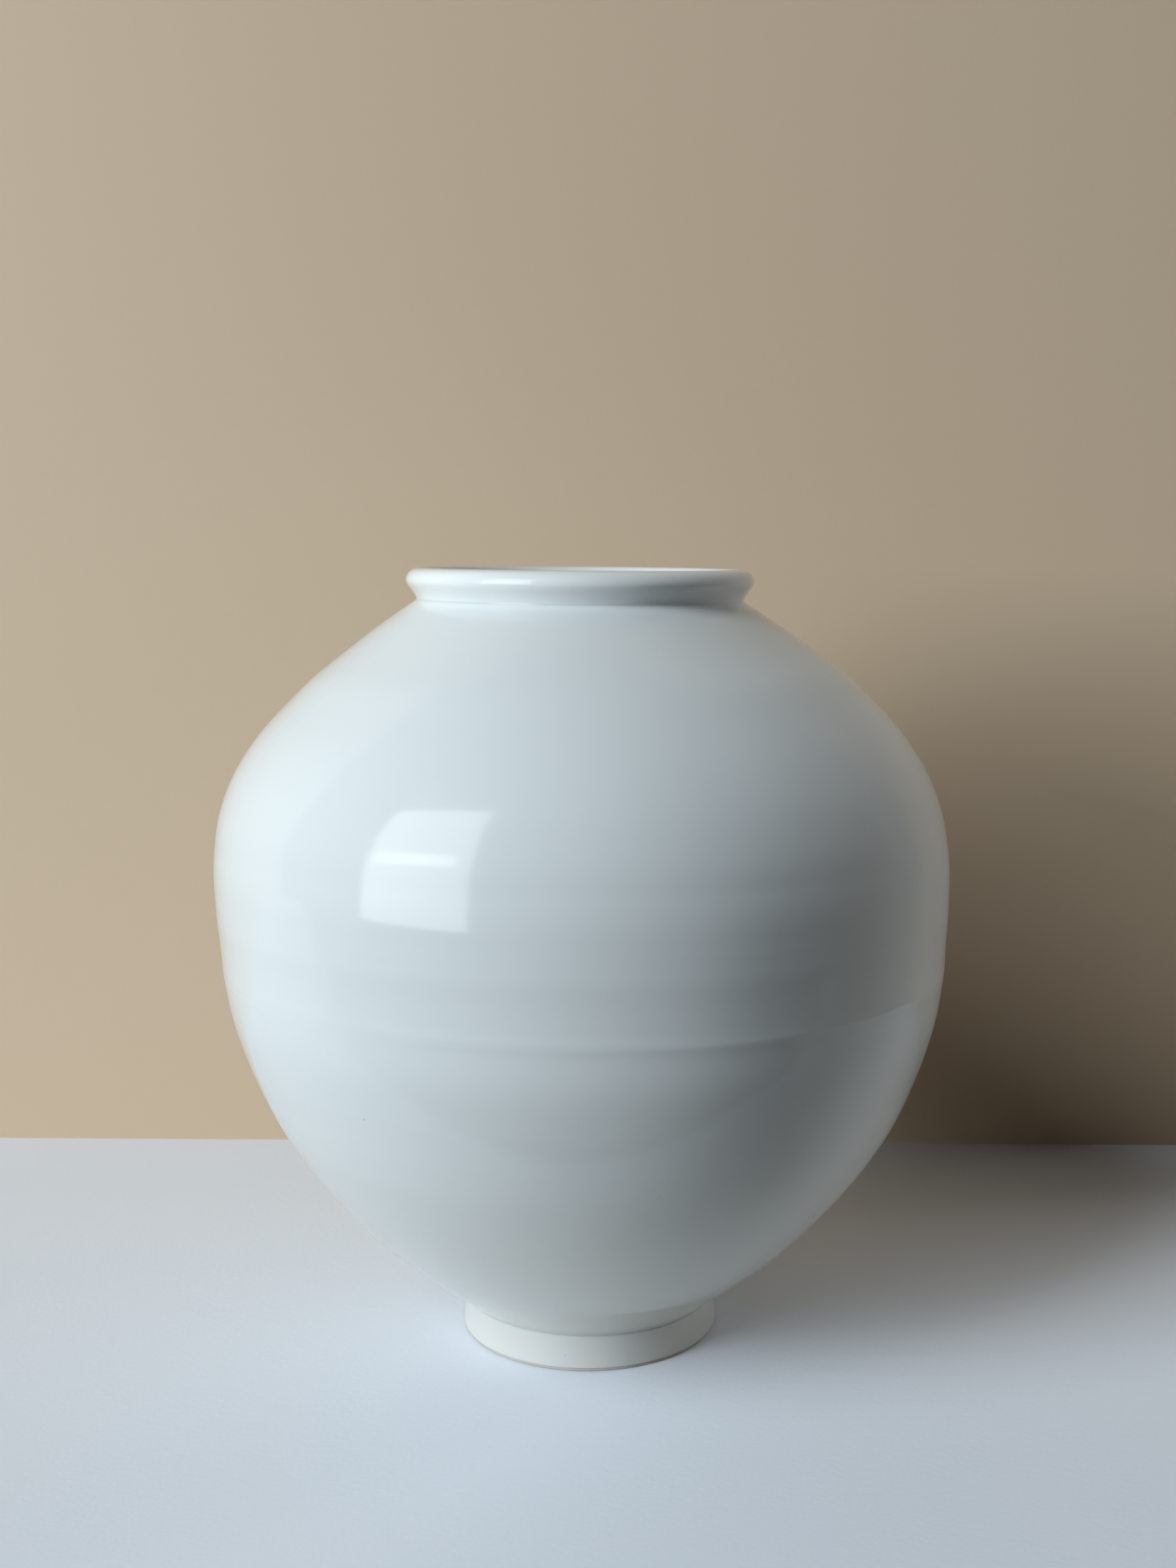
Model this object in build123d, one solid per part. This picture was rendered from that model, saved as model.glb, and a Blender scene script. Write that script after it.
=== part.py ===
from build123d import *
import os

# A porcelain moon jar, in millimetres. It stands on z = 0 and is round about the z axis.
# Each section is drawn with radius across and height up, then turned through a full circle.

# Heights, from the table up
foot_height = 15.7
lower_bowl_height = 158.1
belly_rise = 39.0
shoulder_height = 123.3
collar_height = 13.9

# Radii of the glazed jar
belly_radius = 164.6
seam_inset = 2.1
foot_radius = 57.6
foot_flare = 1.1
collar_radius = 74.0
lip_overhang = 4.5

# Walls of bare porcelain
rim_wall = 6.5
heel_wall = 9.5
base_thickness = 9.5
collar_wall = 7.0
foot_ring_width = 10.5

# Glaze coats and slip joints
glaze_thickness = 0.5
belly_slip_thickness = 1.0
collar_slip_thickness = 0.8
foot_slip_thickness = 0.8

# Tongue and groove of the belly joint, and the slip that squeezes out inside
tongue_depth = 2.0
tongue_width = 3.4
bead_width = 6.0
bead_height = 1.4

# Foot details
undercut_depth = 0.6
undercut_rise = 0.25
foot_round = 0.6
bare_band = 1.5
recess_dome = 1.5
recess_taper = 1.2
base_corner = 2.0

# Outline of the lower bowl: points and end directions as shares of its radial span and its height
lower_point_shares = (
    (0.148, 0.078), (0.309, 0.166), (0.504, 0.299), (0.691, 0.454), (0.842, 0.631), (0.942, 0.808),
)
lower_end_shares = ((1.88, 1), (0.17, 1))

# The upper bowl as far as its widest line, then on over the shoulder to the collar
belly_point_shares = ((0.667, 0.569),)
belly_end_shares = ((0.85, 1), (0, 1))
shoulder_point_shares = ((0.026, 0.204), (0.107, 0.375), (0.258, 0.545), (0.476, 0.715), (0.715, 0.857))
shoulder_end_shares = ((0, 1), (2.1, 1))

# The collar's taper, the round of its lip, and its inner round down to the bore
taper_point_shares = ((0.676, 0.59),)
taper_end_shares = ((1.14, 1), (0, 1))
lip_point_shares = ((0.293, 0.707),)
lip_end_shares = ((0, 1), (1, 0))
bore_point_shares = ((0.707, 0.293),)
bore_end_shares = ((1, 0), (0, 1))
lip_height_share = 0.6
crest_share = 0.45
bore_height_share = 0.64

# Where the inner face leaves the floor, and where it leaves the shoulder for the throat
floor_join_share = 0.16
throat_join_share = 0.94

# Points worked out along each line that runs at a depth under an outline
depth_stations = 16

# Places that follow from the sizes above
seam_radius = belly_radius - seam_inset
lip_radius = collar_radius + lip_overhang
mouth_radius = collar_radius - collar_wall - glaze_thickness
crest_radius = mouth_radius + (lip_radius - mouth_radius) * crest_share
seam_height = foot_height + lower_bowl_height
belly_height = seam_height + belly_rise
collar_base = belly_height + shoulder_height
jar_height = collar_base + collar_height
lip_height = collar_base + collar_height * lip_height_share
bore_height = collar_base + collar_height * bore_height_share
up = Vector(0, 1)
across = Vector(1, 0)


def outline(start, end, point_shares, end_shares):
    # A smooth line between two points, through shares of the box that they span
    span = end - start
    points = [start + Vector(span.X * out, span.Y * rise) for out, rise in point_shares]
    ways = [Vector(span.X * out, span.Y * rise) for out, rise in end_shares]
    return Spline([start, *points, end], tangents=ways)


def under(line, depth_start, depth_end, share_start=0, share_end=1):
    # Points at a depth square to a line, on its left, the depth running evenly along it
    points = []
    for station in range(depth_stations + 1):
        share = share_start + (share_end - share_start) * station / depth_stations
        way = line % share
        depth = depth_start + (depth_end - depth_start) * share
        points.append(line @ share + Vector(-way.Y, way.X) * depth)
    return points


def crossing(first, first_way, second, second_way):
    # The point where two straight lines meet
    gap = second - first
    turn = first_way.X * second_way.Y - first_way.Y * second_way.X
    return first + first_way * ((gap.X * second_way.Y - gap.Y * second_way.X) / turn)


def smooth(points, start_way, end_way):
    return Spline(points, tangents=[start_way, end_way])


def beside(line, points, start, end):
    # The line that runs through points under another one, between two given ends
    return smooth([start, *points[1:-1], end], line % 0, line % 1)


def below(line, height):
    return line.split(Plane(Vector(0, height), z_dir=up), keep=Keep.BOTTOM)


def above(line, height):
    return line.split(Plane(Vector(0, height), z_dir=up), keep=Keep.TOP)


def face(*lines):
    return make_face(Wire(lines))


def turned(section):
    return revolve(Plane.XZ * section, axis=Axis.Z)


# Glazed outline, from the foot to the bore of the mouth
undercut = Vector(foot_radius - undercut_depth, foot_height)
seam = Vector(seam_radius, seam_height)
belly = Vector(belly_radius, belly_height)
crease = Vector(collar_radius, collar_base)
lip = Vector(lip_radius, lip_height)
crest = Vector(crest_radius, jar_height)
bore = Vector(mouth_radius, bore_height)
lower_line = outline(undercut, seam, lower_point_shares, lower_end_shares)
belly_line = outline(seam, belly, belly_point_shares, belly_end_shares)
shoulder_line = outline(belly, crease, shoulder_point_shares, shoulder_end_shares)
taper_line = outline(crease, lip, taper_point_shares, taper_end_shares)
lip_line = outline(lip, crest, lip_point_shares, lip_end_shares)
bore_line = outline(crest, bore, bore_point_shares, bore_end_shares)

# Bare porcelain outline, one glaze coat inside the glazed one
bare_seam = seam - across * glaze_thickness
bare_belly = belly - across * glaze_thickness
bare_lip = lip - across * glaze_thickness
bare_crest = crest - up * glaze_thickness
bare_bore = bore + across * glaze_thickness
shoulder_points = under(shoulder_line, glaze_thickness, glaze_thickness)
taper_points = under(taper_line, glaze_thickness, glaze_thickness)
bare_crease = crossing(shoulder_points[-1], shoulder_line % 1, taper_points[0], taper_line % 0)
lower_points = under(lower_line, glaze_thickness, glaze_thickness)
belly_points = under(belly_line, glaze_thickness, glaze_thickness)
lip_points = under(lip_line, glaze_thickness, glaze_thickness)
bore_points = under(bore_line, glaze_thickness, glaze_thickness)
bare_heel = lower_points[0]
bare_lower = beside(lower_line, lower_points, bare_heel, bare_seam)
bare_upper = beside(belly_line, belly_points, bare_seam, bare_belly)
bare_shoulder = beside(shoulder_line, shoulder_points, bare_belly, bare_crease)
bare_taper = beside(taper_line, taper_points, bare_crease, bare_lip)
bare_lip_line = beside(lip_line, lip_points, bare_lip, bare_crest)
bare_bore_line = beside(bore_line, bore_points, bare_crest, bare_bore)

# Heights of the joints, the foot and the floor
joint_bottom = seam_height - belly_slip_thickness / 2
joint_top = seam_height + belly_slip_thickness / 2
collar_bottom = bare_crease.Y
collar_seat = collar_bottom - collar_slip_thickness
base_height = bare_heel.Y
ring_top = base_height - foot_slip_thickness
floor_height = base_height + recess_dome + base_thickness
recess_radius = bare_heel.X - foot_ring_width
foot_slip_radius = bare_heel.X - undercut_depth


def inner_lines(coat):
    # The inner face under the mouth, moved in by a coat; with no coat it is the bare porcelain
    floor = Vector(0, floor_height + coat)
    joint = bare_seam - across * (rim_wall + coat)
    throat = Vector(bare_bore.X - coat, collar_bottom)
    depth = glaze_thickness + rim_wall + coat
    low_points = under(lower_line, glaze_thickness + heel_wall + coat, depth, floor_join_share, 1)
    high_points = under(belly_line, depth, depth)[1:-1]
    high_points += under(shoulder_line, depth, depth, 0, throat_join_share)
    low = smooth([floor, *low_points[:-1], joint], across, lower_line % 1)
    high = smooth([joint, *high_points, throat], belly_line % 0, up)
    return low, high


def bead(low, high, coat):
    # The slip that squeezes out of the belly joint, with a coat over it, and the lines that it parts
    half = bead_width / 2 + coat
    low = below(low, seam_height - half)
    high = above(high, seam_height + half)
    tip = Vector(bare_seam.X - rim_wall - bead_height - coat, seam_height)
    return low, ThreePointArc(low @ 1, tip, high @ 0), high


# Inner face of the bowls, its glaze, and the bead between them
bare_low, bare_high = inner_lines(0)
coat_low, coat_high = inner_lines(glaze_thickness)
open_low, bead_line, open_high = bead(bare_low, bare_high, 0)
coat_low, coat_bead, coat_high = bead(coat_low, coat_high, glaze_thickness)
joint_low = below(above(bare_low, (open_low @ 1).Y), joint_bottom)
joint_high = above(below(bare_high, (open_high @ 0).Y), joint_top)
bowl_high = below(open_high, collar_seat)
slip_high = above(open_high, collar_seat)

# Outer face of the same pieces under the glaze
bowl_lower = below(bare_lower, joint_bottom)
bowl_upper = above(bare_upper, joint_top)
slip_outer = Line(bowl_lower @ 1, bowl_upper @ 0)
bowl_shoulder = below(bare_shoulder, collar_seat)
slip_shoulder = above(bare_shoulder, collar_seat)


def joint_face(start, end):
    # Across the wall from its inner edge to its outer one, with the tongue in the middle
    middle = bare_seam.X - rim_wall / 2
    side = across * (tongue_width / 2)
    root = Vector(middle, start.Y)
    return Polyline(start, root - side, root - up * tongue_depth, root + side, end).edges()


lower_joint = joint_face(joint_low @ 1, bowl_lower @ 1)
upper_joint = joint_face(joint_high @ 0, bowl_upper @ 0)
collar_joint = Line(slip_high @ 1, bare_crease)
seat_joint = Line(slip_high @ 0, bowl_shoulder @ 1)


def foot_wall(height):
    # Glazed radius of the foot at a height
    return foot_radius + foot_flare * (1 - height / foot_height)


def recess_wall(height):
    # Radius of the recess inside the foot at a height
    return recess_radius + recess_taper * (1 - height / base_height)


def recess_roof(radius):
    # Height of the domed roof of the recess at a radius
    return base_height + recess_dome * (1 - (radius / recess_radius) ** 2)


roof = Vector(0, recess_roof(0))
roof_edge = Vector(recess_radius, base_height)
roof_line = TangentArc(roof, roof_edge, tangent=across)
ring_inner = Vector(recess_wall(ring_top), ring_top)
ring_outer = Vector(foot_wall(ring_top) - glaze_thickness, ring_top)
ring_slip_edge = Vector(foot_slip_radius, ring_top)
base_slip_edge = Vector(foot_slip_radius, base_height)
inner_band = Vector(recess_wall(bare_band), bare_band)
outer_band = Vector(foot_wall(bare_band) - glaze_thickness, bare_band)


def lower_bowl():
    return face(
        bowl_lower, *lower_joint, joint_low, open_low, Line(bare_low @ 0, roof),
        roof_line, Line(roof_edge, base_slip_edge), Line(base_slip_edge, bare_heel),
    )


def belly_slip():
    return face(*lower_joint, slip_outer, *upper_joint, joint_high, bead_line, joint_low)


def upper_bowl():
    return face(bowl_upper, bowl_shoulder, seat_joint, bowl_high, joint_high, *upper_joint)


def collar_slip():
    return face(seat_joint, slip_shoulder, collar_joint, slip_high)


def mouth_collar():
    return face(
        collar_joint, bare_taper, bare_lip_line, bare_bore_line, Line(bare_bore, slip_high @ 1),
    )


def foot_ring():
    # Leaning walls inside and out, and both edges of the standing face rounded
    outer_foot = Vector(foot_wall(foot_round) - glaze_thickness, foot_round)
    outer_stand = Vector(outer_foot.X - foot_round, 0)
    inner_foot = Vector(recess_wall(foot_round), foot_round)
    inner_stand = Vector(inner_foot.X + foot_round, 0)
    return face(
        Line(ring_outer, outer_band), Line(outer_band, outer_foot),
        smooth([outer_foot, outer_stand], -up, -across), Line(outer_stand, inner_stand),
        smooth([inner_stand, inner_foot], -across, up), Line(inner_foot, inner_band),
        Line(inner_band, ring_inner), Line(ring_inner, ring_slip_edge), Line(ring_slip_edge, ring_outer),
    )


def foot_slip():
    return face(
        Line(base_slip_edge, roof_edge), Line(roof_edge, ring_inner),
        Line(ring_inner, ring_slip_edge), Line(ring_slip_edge, base_slip_edge),
    )


def outer_glaze():
    # From the bare band at the foot, round the undercut and over the belly to the crest of the lip
    shelf = foot_height - undercut_rise
    foot_lines = Polyline(
        bare_heel, base_slip_edge, ring_slip_edge, ring_outer, outer_band,
        Vector(foot_wall(bare_band), bare_band), Vector(foot_wall(shelf), shelf), undercut,
    )
    return face(
        lower_line, belly_line, shoulder_line, taper_line, lip_line, Line(crest, bare_crest),
        bare_lip_line, bare_taper, slip_shoulder, bowl_shoulder, bowl_upper, slip_outer, bowl_lower,
        *foot_lines.edges(),
    )


def inner_glaze():
    # From the crest of the lip down the mouth and over the slip bead to the floor
    return face(
        bore_line, Line(bore, coat_high @ 1), coat_high, coat_bead, coat_low,
        Line(coat_low @ 0, bare_low @ 0), open_low, bead_line, bowl_high, slip_high,
        Line(slip_high @ 1, bare_bore), bare_bore_line, Line(bare_crest, crest),
    )


def base_glaze():
    # The roof of the recess and the inside of the foot ring, with its corner filled round
    turn_radius = recess_radius - glaze_thickness - base_corner
    turn = Vector(turn_radius, recess_roof(turn_radius) - glaze_thickness)
    wall_height = base_height - glaze_thickness - base_corner
    wall_top = Vector(recess_wall(wall_height) - glaze_thickness, wall_height)
    wall_foot = inner_band - across * glaze_thickness
    coat_roof = roof - up * glaze_thickness
    return face(
        roof_line, Line(roof_edge, ring_inner), Line(ring_inner, inner_band), Line(inner_band, wall_foot),
        Line(wall_foot, wall_top), smooth([wall_top, turn], up, -across),
        TangentArc(coat_roof, turn, tangent=across), Line(coat_roof, roof),
    )


os.makedirs("parts", exist_ok=True)
sections = [
    lower_bowl, belly_slip, upper_bowl, collar_slip, mouth_collar,
    foot_ring, foot_slip, outer_glaze, inner_glaze, base_glaze,
]
for section in sections:
    export_step(turned(section()), f"parts/{section.__name__}.step")
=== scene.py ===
import bpy
import numpy as np
from mathutils import Matrix


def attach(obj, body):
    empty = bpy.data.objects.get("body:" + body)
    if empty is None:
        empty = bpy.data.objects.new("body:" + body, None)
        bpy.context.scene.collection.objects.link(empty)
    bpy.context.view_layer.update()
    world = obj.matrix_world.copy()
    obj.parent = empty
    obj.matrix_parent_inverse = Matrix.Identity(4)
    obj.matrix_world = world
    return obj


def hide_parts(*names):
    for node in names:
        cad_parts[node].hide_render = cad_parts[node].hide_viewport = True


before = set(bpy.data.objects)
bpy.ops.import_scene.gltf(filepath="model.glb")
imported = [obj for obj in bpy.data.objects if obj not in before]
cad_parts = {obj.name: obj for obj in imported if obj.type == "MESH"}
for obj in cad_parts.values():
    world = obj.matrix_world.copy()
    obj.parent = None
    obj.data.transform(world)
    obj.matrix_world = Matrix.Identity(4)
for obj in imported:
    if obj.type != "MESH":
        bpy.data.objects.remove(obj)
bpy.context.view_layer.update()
print("frame loaded")

mm = 0.001  # shapes are worked out in millimetres, with radius across and height up, and meshes are in metres
sameSpot = 1e-4  # mm; points nearer than this are one point
nearEnd = 1e-3  # mm; a point nearer than this to a cut is left out


def vec(*parts):
    # The given numbers as one array
    return np.array(parts, float)


def unit(way):
    # The same direction with a length of 1
    return np.array(way, float) / np.linalg.norm(way)


# Lines


def smoothLine(points, startWay, endWay, step):
    # A cubic between each two points, on the distance between them: (1 + 2u)(1 - u)^2 of the low point and
    # u^2 (3 - 2u) of the high one, plus the slopes' shares. The slopes make neighbours meet with equal bend.
    points = np.array(points, float)
    hops = np.diff(points, axis=0)
    gaps = np.linalg.norm(hops, axis=1)
    last = len(points) - 1
    inner = np.arange(1, last)
    system, right = np.eye(last + 1), np.zeros_like(points)
    system[inner, inner - 1], system[inner, inner + 1] = gaps[1:], gaps[:-1]
    system[inner, inner] = 2 * (gaps[:-1] + gaps[1:])
    ratio = (gaps[:-1] / gaps[1:])[:, None]
    right[inner] = 3 * (ratio * hops[1:] + hops[:-1] / ratio)
    right[0], right[-1] = unit(startWay), unit(endWay)
    slopes = np.linalg.solve(system, right)
    knots = np.concatenate([[0], np.cumsum(gaps)])
    at = np.linspace(0, knots[-1], max(2, int(np.ceil(knots[-1] / step)) + 1))
    piece = np.clip(np.searchsorted(knots, at, side="right") - 1, 0, last - 1)
    gap = gaps[piece][:, None]
    u = (at - knots[piece])[:, None] / gap
    low, high = points[piece], points[piece + 1]
    return (
        low * (1 + 2 * u) * (1 - u) ** 2 + high * u**2 * (3 - 2 * u)
        + gap * (slopes[piece] * u * (1 - u) ** 2 - slopes[piece + 1] * u**2 * (1 - u))
    )


def outline(start, end, pointShares, endShares, step):
    # A smooth line through shares of the box between its two ends
    span = end - start
    points = [start, *(start + span * vec(*share) for share in pointShares), end]
    return smoothLine(points, *(span * vec(*share) for share in endShares), step)


def joined(*lines):
    # Lines end to end, with a point that two of them share kept once
    points = np.concatenate([np.atleast_2d(line) for line in lines])
    keep = np.linalg.norm(np.diff(points, axis=0), axis=1) > sameSpot
    return points[np.concatenate([[True], keep])]


def lengths(line):
    # The distance along the line to each point: the running sum of the steps between them
    return np.concatenate([[0], np.cumsum(np.linalg.norm(np.diff(line, axis=0), axis=1))])


def spaced(line, step):
    # The same line with its points about one step apart: its length is cut into equal parts
    run = lengths(line)
    at = np.linspace(0, run[-1], max(2, int(np.ceil(run[-1] / step)) + 1))
    return np.stack([np.interp(at, run, line[:, axis]) for axis in range(2)], -1)


def graded(line, step, fineStep, height, reach):
    # The same line with its points one step apart, and a finer step apart near one height: the steps mix by
    # exp(-(distance from the height / reach)^2)
    middle = (line[1:, 1] + line[:-1, 1]) / 2
    fine = np.exp(-(((middle - height) / reach) ** 2))
    count = np.diff(lengths(line)) * ((1 - fine) / step + fine / fineStep)
    run = np.concatenate([[0], np.cumsum(count)])
    at = np.linspace(0, run[-1], int(np.ceil(run[-1])) + 1)
    return np.stack([np.interp(at, run, line[:, axis]) for axis in range(2)], -1)


def leftOf(line):
    # Unit ways square to a line, on its left: the way along it, turned by a quarter
    way = np.gradient(line, axis=0)
    way /= np.linalg.norm(way, axis=1)[:, None]
    return np.stack([-way[:, 1], way[:, 0]], -1)


def moved(line, depth):
    # Each point plus its depth times the way to the left
    return line + leftOf(line) * np.reshape(depth, (-1, 1))


def under(line, depthStart, depthEnd, shareStart=0, shareEnd=1, count=17):
    # Points at a depth on the left of a line, between two shares of its length. The depth runs evenly from
    # its start value to its end value.
    run = lengths(line) / lengths(line)[-1]
    share = np.linspace(shareStart, shareEnd, count)
    deep = moved(line, depthStart + (depthEnd - depthStart) * run)
    return np.stack([np.interp(share, run, deep[:, axis]) for axis in range(2)], -1)


def bend(start, corner, end, count=6):
    # A curve that leaves and arrives along the sides of a corner: (1 - s)^2 of the start, 2s(1 - s) of the
    # corner and s^2 of the end
    share = np.linspace(0, 1, count)[:, None]
    return start * (1 - share) ** 2 + corner * 2 * share * (1 - share) + end * share**2


def rounded(line, corner, reach, step):
    # Swaps the stretch within reach of a corner for a curve that starts and ends along the line
    run = lengths(line)
    middle = run[np.argmin(np.linalg.norm(line - corner, axis=1))]
    before, after = line[run < middle - reach], line[run > middle + reach]
    return joined(before, bend(before[-1], corner, after[0], max(4, int(2 * reach / step)))[1:-1], after)


# The jar's sections, the same as the CAD's, in mm. Points are shares of the box between a line's two ends.

jar = dict(
    footHeight=15.7, lowerBowl=158.1, bellyRise=39.0, shoulder=123.3, collar=13.9,
    bellyRadius=164.6, seamInset=2.1, footRadius=57.6, footFlare=1.1, collarRadius=74.0, lipOverhang=4.5,
    rimWall=6.5, heelWall=9.5, base=9.5, collarWall=7.0, footRing=10.5,
    glaze=0.5, bellySlip=1.0, collarSlip=0.8, footSlip=0.8,
    tongueDepth=2.0, tongueWidth=3.4, beadWidth=6.0, beadHeight=1.4, beadGather=0.25,
    undercut=0.6, undercutRise=0.25, footRound=0.6, bareBand=1.5,
    recessDome=1.5, recessTaper=1.2, baseCorner=2.0,
    lowerPoints=(
        (0.148, 0.078), (0.309, 0.166), (0.504, 0.299), (0.691, 0.454), (0.842, 0.631), (0.942, 0.808),
    ),
    lowerEnds=((1.88, 1), (0.17, 1)),
    bellyPoints=((0.667, 0.569),), bellyEnds=((0.85, 1), (0, 1)),
    shoulderPoints=((0.026, 0.204), (0.107, 0.375), (0.258, 0.545), (0.476, 0.715), (0.715, 0.857)),
    shoulderEnds=((0, 1), (2.1, 1)),
    taperPoints=((0.676, 0.59),), taperEnds=((1.14, 1), (0, 1)),
    lipPoints=((0.293, 0.707),), lipEnds=((0, 1), (1, 0)),
    borePoints=((0.707, 0.293),), boreEnds=((1, 0), (0, 1)),
    lipShare=0.6, crestShare=0.45, boreShare=0.64, floorJoin=0.16, throatJoin=0.94,
    bodyStep=0.5, lipStep=0.5, innerLineStep=1, innerStep=5.0, hiddenStep=10.0,
)

glaze = jar["glaze"]
seamHeight = jar["footHeight"] + jar["lowerBowl"]
bellyHeight = seamHeight + jar["bellyRise"]
collarBase = bellyHeight + jar["shoulder"]
jarHeight = collarBase + jar["collar"]
mouthRadius = jar["collarRadius"] - jar["collarWall"] - glaze
lipRadius = jar["collarRadius"] + jar["lipOverhang"]

undercut = vec(jar["footRadius"] - jar["undercut"], jar["footHeight"])
seam = vec(jar["bellyRadius"] - jar["seamInset"], seamHeight)
belly = vec(jar["bellyRadius"], bellyHeight)
crease = vec(jar["collarRadius"], collarBase)
lip = vec(lipRadius, collarBase + jar["collar"] * jar["lipShare"])
crest = vec(mouthRadius + (lipRadius - mouthRadius) * jar["crestShare"], jarHeight)
bore = vec(mouthRadius, collarBase + jar["collar"] * jar["boreShare"])

lowerLine = outline(undercut, seam, jar["lowerPoints"], jar["lowerEnds"], jar["bodyStep"])
bellyLine = outline(seam, belly, jar["bellyPoints"], jar["bellyEnds"], jar["bodyStep"])
shoulderLine = outline(belly, crease, jar["shoulderPoints"], jar["shoulderEnds"], jar["bodyStep"])
taperLine = outline(crease, lip, jar["taperPoints"], jar["taperEnds"], jar["lipStep"])
lipLine = outline(lip, crest, jar["lipPoints"], jar["lipEnds"], jar["lipStep"])
boreLine = outline(crest, bore, jar["borePoints"], jar["boreEnds"], jar["lipStep"])

bareLower, bareBelly, bareShoulder = (moved(line, glaze) for line in (lowerLine, bellyLine, shoulderLine))
bareTaper, bareLip, bareBore = (moved(line, glaze) for line in (taperLine, lipLine, boreLine))
collarBottom = bareShoulder[-1, 1]
collarSeat = collarBottom - jar["collarSlip"]
baseHeight = bareLower[0, 1]
ringTop = baseHeight - jar["footSlip"]
floorHeight = baseHeight + jar["recessDome"] + jar["base"]
recessRadius = bareLower[0, 0] - jar["footRing"]
slipRadius = bareLower[0, 0] - jar["undercut"]
jointLow, jointHigh = seamHeight - jar["bellySlip"] / 2, seamHeight + jar["bellySlip"] / 2


def footWall(height):
    # Radius of the foot's outer face, which widens evenly by the flare from its top to the table
    return jar["footRadius"] + jar["footFlare"] * (1 - height / jar["footHeight"])


def recessWall(height):
    # Radius of the recess, which widens evenly by the taper from its top to the table
    return recessRadius + jar["recessTaper"] * (1 - height / baseHeight)


def recessRoof(radius):
    # Height of the recess's roof: a dome that falls with the square of the radius
    return baseHeight + jar["recessDome"] * (1 - (radius / recessRadius) ** 2)


def radiusAt(line, height):
    # Radius of a rising line at a height
    return np.interp(height, line[:, 1], line[:, 0])


def between(line, low, high):
    # The stretch of a rising line between two heights
    ends = [vec(radiusAt(line, height), height) for height in (low, high)]
    inside = (line[:, 1] > low + nearEnd) & (line[:, 1] < high - nearEnd)
    return np.concatenate([ends[:1], line[inside], ends[1:]])


def innerLine(coatDepth):
    # The inner face from the middle of the floor to the throat, moved in by a coat. The bead of slip stands
    # out by its height times 1 - (distance from the seam / half its width)^2, and glaze gathers on it.
    depth = glaze + jar["rimWall"] + coatDepth
    low = under(lowerLine, glaze + jar["heelWall"] + coatDepth, depth, jar["floorJoin"], 1)[:-1]
    high = np.concatenate([
        under(bellyLine, depth, depth)[:-1], under(shoulderLine, depth, depth, 0, jar["throatJoin"]),
    ])
    throat = vec(mouthRadius + glaze - coatDepth, collarBottom)
    points = [vec(0, floorHeight + coatDepth), *low, *high, throat]
    line = smoothLine(points, (1, 0), (0, 1), jar["innerLineStep"])
    half = jar["beadWidth"] / 2 + coatDepth
    bead = np.clip(1 - ((line[:, 1] - seamHeight) / half) ** 2, 0, 1)
    line[:, 0] -= (jar["beadHeight"] + coatDepth * jar["beadGather"]) * bead
    return line


bareInner, coatInner = innerLine(0), innerLine(glaze)


def jointFace(height, inner, outer):
    # Across the wall from its outer edge to its inner one, with the tongue's point down in the middle
    middle, half = seam[0] - glaze - jar["rimWall"] / 2, jar["tongueWidth"] / 2
    return np.array([
        (outer, height), (middle + half, height), (middle, height - jar["tongueDepth"]),
        (middle - half, height), (inner, height),
    ])


# How far the thrown jar is from true

thrown = dict(
    heights=(0, 17, 87, 174, 213, 262, 336, 350),  # mm above the table
    sideways=(1.5, 1.6, 2.1, 0.6, 0.0, -0.7, 0.4, 0.5),  # centre line, across the photograph
    deep=(0.3, 0.3, -0.5, -0.6, 0.0, 0.5, 0.2, 0.2), step=2,  # centre line, towards the back
    oval=0.0016, ovalTurn=0.25, dent=0.10, slim=0.6, slimFrom=(20, 90), slimTo=(300, 330),
    # Dents: waves round the jar, their twist in mm and start, rise of the wave up the jar in mm and its start
    dents=((3, 31, 0.7, 27, 1.1), (2, -43, 2.0, 36, -0.4)),
    mouthDip=0.0165, dipFrom=(295, 340),
    collarDraw=1.7, collarFrom=(262, 334), lipSpread=0.5, lipFrom=(338, 345),
)


def wander(name, height):
    # The centre line's shift at a height, on a smooth line through the listed ones
    line = smoothLine(list(zip(thrown["heights"], thrown[name])), (1, 0), (1, 0), thrown["step"])
    return np.interp(height, line[:, 0], line[:, 1])


def smoothStep(value, low, high):
    # Eases from 0 at the low value to 1 at the high one: s^2 (3 - 2s) of the share s between them
    share = np.clip((value - low) / (high - low), 0, 1)
    return share * share * (3 - 2 * share)


def asThrown(place):
    # The centre line wanders with height, and the round is drawn in towards an oval by the square of a sine.
    # Wide shallow dents press in, each a wave round the jar times a wave up it, and the collar is drawn in a
    # little and dips to one side. Nothing grows past the true jar.
    x, y, z = place[..., 0], place[..., 1], place[..., 2]
    turn = np.arctan2(y, x)
    dents = sum(
        np.cos(waves * turn + z / twist + start) * np.cos(z / rise + riseStart)
        for waves, twist, start, rise, riseStart in thrown["dents"]
    )
    dented = (2 + dents) / 4  # from 0 to 1
    slim = thrown["slim"] * smoothStep(z, *thrown["slimFrom"]) * (1 - smoothStep(z, *thrown["slimTo"]))
    draw = thrown["collarDraw"] * smoothStep(z, *thrown["collarFrom"])
    draw = draw - thrown["lipSpread"] * smoothStep(z, *thrown["lipFrom"])
    shrink = 1 - thrown["oval"] * np.sin(turn - thrown["ovalTurn"]) ** 2
    shrink = shrink - (thrown["dent"] * dented + slim) / jar["bellyRadius"] - draw / jar["collarRadius"]
    dip = thrown["mouthDip"] * smoothStep(z, *thrown["dipFrom"])
    return np.stack([
        x * shrink + wander("sideways", z), y * shrink + wander("deep", z), z - dip * (x + lipRadius),
    ], -1)


crispAngle = 38  # degrees; a fold past this stays sharp


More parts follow.
